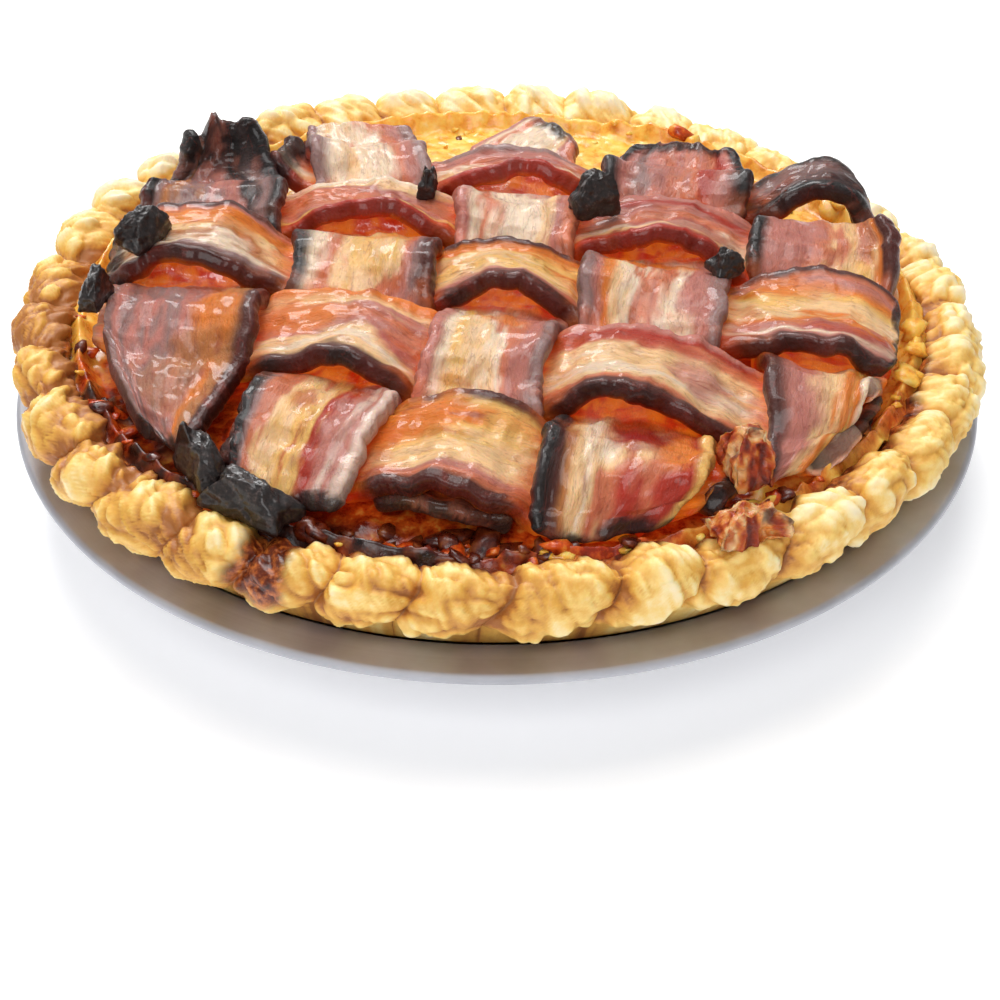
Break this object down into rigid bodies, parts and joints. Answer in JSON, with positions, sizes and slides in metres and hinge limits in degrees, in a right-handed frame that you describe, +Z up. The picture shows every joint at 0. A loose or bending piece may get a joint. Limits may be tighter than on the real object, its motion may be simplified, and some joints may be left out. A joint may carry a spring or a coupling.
{
  "type": "cheeseburger pie with a woven bacon top in its tin",
  "caption": "Whole baked round pie in its own shallow metal tin: crimped pastry case, beef and cheese filling, and a charred woven bacon lattice on top.",
  "frame": {"origin": "centre of the tin's flat base, on the surface it stands on", "axes": "+Z up; -Y towards the front of the pie as pictured; +X to its right"},
  "size_m": [0.2468, 0.2468, 0.0748],
  "materials": {
    "tin_plate": "satin",
    "pastry": "baked golden, dry and flaky",
    "filling": "moist, with melted cheese and meat juices",
    "bacon": "streaky, greasy sheen, charred at the edges",
    "char": "burnt, rough"
  },
  "bodies": {
    "root": {"tin": "tin_plate", "crust": "pastry", "filling": "filling", "bacon_v1": "bacon", "bacon_v2": "bacon", "bacon_v3": "bacon", "bacon_v4": "bacon", "bacon_v5": "bacon", "bacon_h1": "bacon", "bacon_h2": "bacon", "bacon_h3": "bacon", "bacon_h4": "bacon", "bacon_h5": "bacon", "charred_scrap_1": "char", "charred_scrap_2": "char", "charred_scrap_3": "char", "charred_scrap_4": "char", "charred_scrap_5": "char", "charred_scrap_6": "char", "charred_scrap_7": "char", "bacon_end_1": "bacon", "bacon_end_2": "bacon"}
  },
  "joints": []
}
